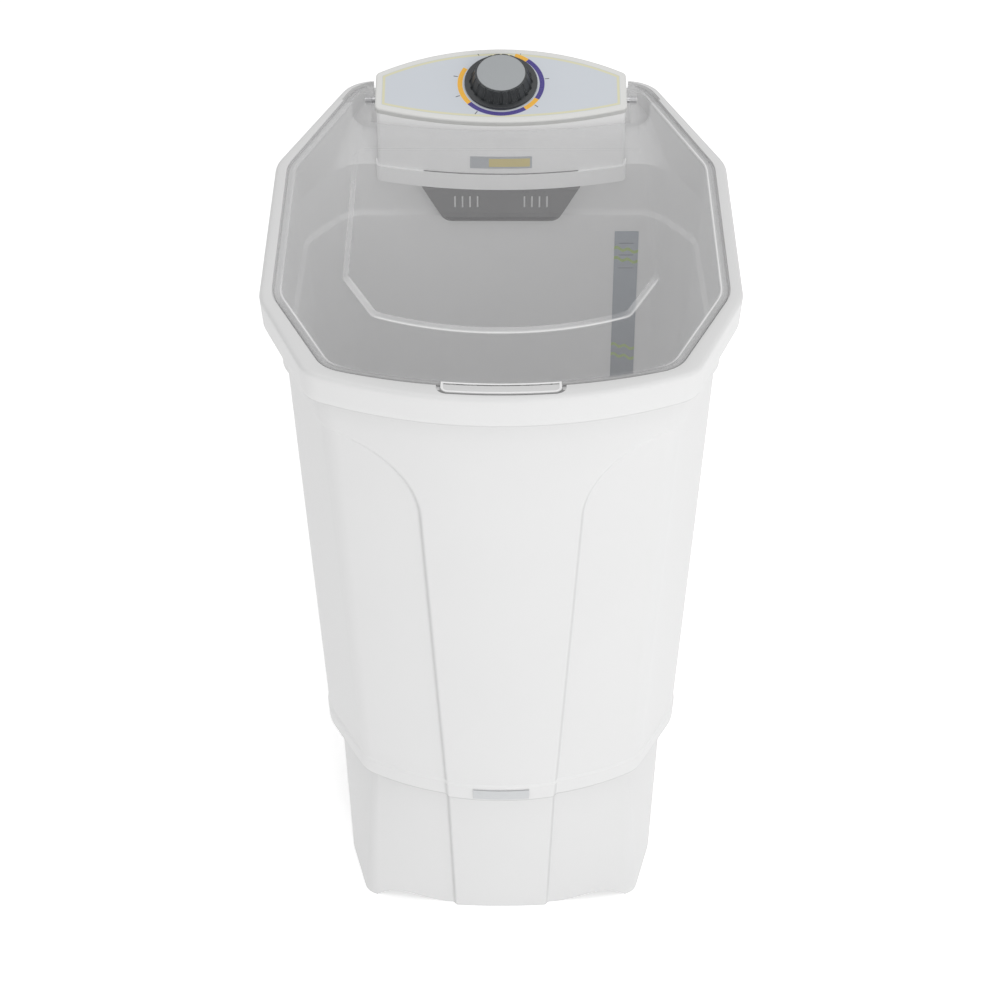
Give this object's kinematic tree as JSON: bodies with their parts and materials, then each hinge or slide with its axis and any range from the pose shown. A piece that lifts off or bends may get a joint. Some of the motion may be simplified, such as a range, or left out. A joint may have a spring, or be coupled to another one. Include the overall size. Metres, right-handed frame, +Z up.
{
  "type": "top-loading washing machine",
  "caption": "Free-standing top-loading washer: tapered tub on a narrower skirt, smoked clear lid hinged on a rear console with a timer knob, belt-driven impeller in the tub floor.",
  "frame": {"origin": "on the floor under the middle of the machine's box", "axes": "+Z up, front towards -Y, +X to the right as seen from the front"},
  "size_m": [0.5494, 0.6789, 0.9587],
  "materials": {
    "white_plastic": "moulded white, satin gloss",
    "cream_plastic": "moulded off-white",
    "printed_film": "printed pale blue-grey film",
    "smoked_clear": "clear smoked plastic",
    "charcoal_plastic": "fine-grained charcoal",
    "silver_plastic": "silver-grey",
    "grey_plastic": "moulded mid grey",
    "filter_mesh": "moulded mesh",
    "strip_film": "printed grey film",
    "steel": "zinc plated",
    "cast_aluminium": "die cast",
    "bearing_brass": "sintered",
    "black_paint": "black enamel",
    "lamination": "stacked sheet",
    "capacitor_can": "white moulded can",
    "black_rubber": "moulded black"
  },
  "bodies": {
    "cabinet": {"tub": "white_plastic", "base_skirt": "white_plastic", "foot_pads": "black_rubber", "base_screws": "steel", "hinge_pins": "steel", "console_housing": "white_plastic", "console_base": "white_plastic", "console_screws": "steel", "console_bezel": "cream_plastic", "console_overlay": "printed_film", "console_label": "silver_plastic", "timer_body": "grey_plastic", "level_strip": "strip_film", "badge_plate": "silver_plastic", "bearing_housing": "cast_aluminium", "upper_bush": "bearing_brass", "lower_bush": "bearing_brass", "shaft_seal": "black_rubber", "housing_screws": "steel", "drive_belt": "black_rubber", "motor_upper_bell": "black_paint", "motor_lower_bell": "black_paint", "motor_stator": "lamination", "motor_tie_bolts": "steel", "motor_bushes": "bearing_brass", "motor_bracket": "black_paint", "bracket_bolts": "steel", "capacitor": "capacitor_can", "capacitor_clip": "black_paint", "drain_grate": "grey_plastic", "drain_gasket": "black_rubber", "drain_elbow": "grey_plastic", "wiring_harness": "black_rubber", "cable_channel": "grey_plastic", "harness_grommet": "black_rubber", "cord_gland": "black_rubber"},
    "lid": {"lid": "smoked_clear"},
    "knob": {"timer_knob": "charcoal_plastic", "knob_cap": "silver_plastic", "timer_shaft": "steel"},
    "impeller": {"impeller": "grey_plastic", "impeller_bolt": "steel", "drive_shaft": "steel", "thrust_washer": "bearing_brass", "driven_pulley": "cast_aluminium", "pulley_nut": "steel"},
    "rotor": {"motor_rotor": "lamination", "motor_shaft": "steel", "motor_pulley": "cast_aluminium"},
    "filter": {"filter_frame": "grey_plastic", "filter_net": "filter_mesh"}
  },
  "joints": [
    {"name": "lid_hinge", "type": "hinge", "parent": "cabinet", "child": "lid", "pos_m": [0, 0.29038, 0.901], "axis": [-1, 0, 0], "range_deg": [0, 95]},
    {"name": "timer_turn", "type": "hinge", "parent": "cabinet", "child": "knob", "pos_m": [0, 0.27928, 0.93127], "axis": [0, -0.279, 0.9603], "range_deg": [-315, 0]},
    {"name": "impeller_spin", "type": "hinge", "parent": "cabinet", "child": "impeller", "pos_m": [0, -0.02162, 0.2], "axis": [0, 0, 1], "continuous": true},
    {"name": "motor_spin", "type": "hinge", "parent": "cabinet", "child": "rotor", "pos_m": [0, 0.14338, 0.2], "axis": [0, 0, 1], "continuous": true},
    {"name": "filter_slide", "type": "slide", "parent": "cabinet", "child": "filter", "axis": [0, 0, -1], "range_m": [0, 0.05]}
  ],
  "couplings": [
    {"joint": "motor_spin", "follows": "impeller_spin", "ratio": 4.2018}
  ]
}
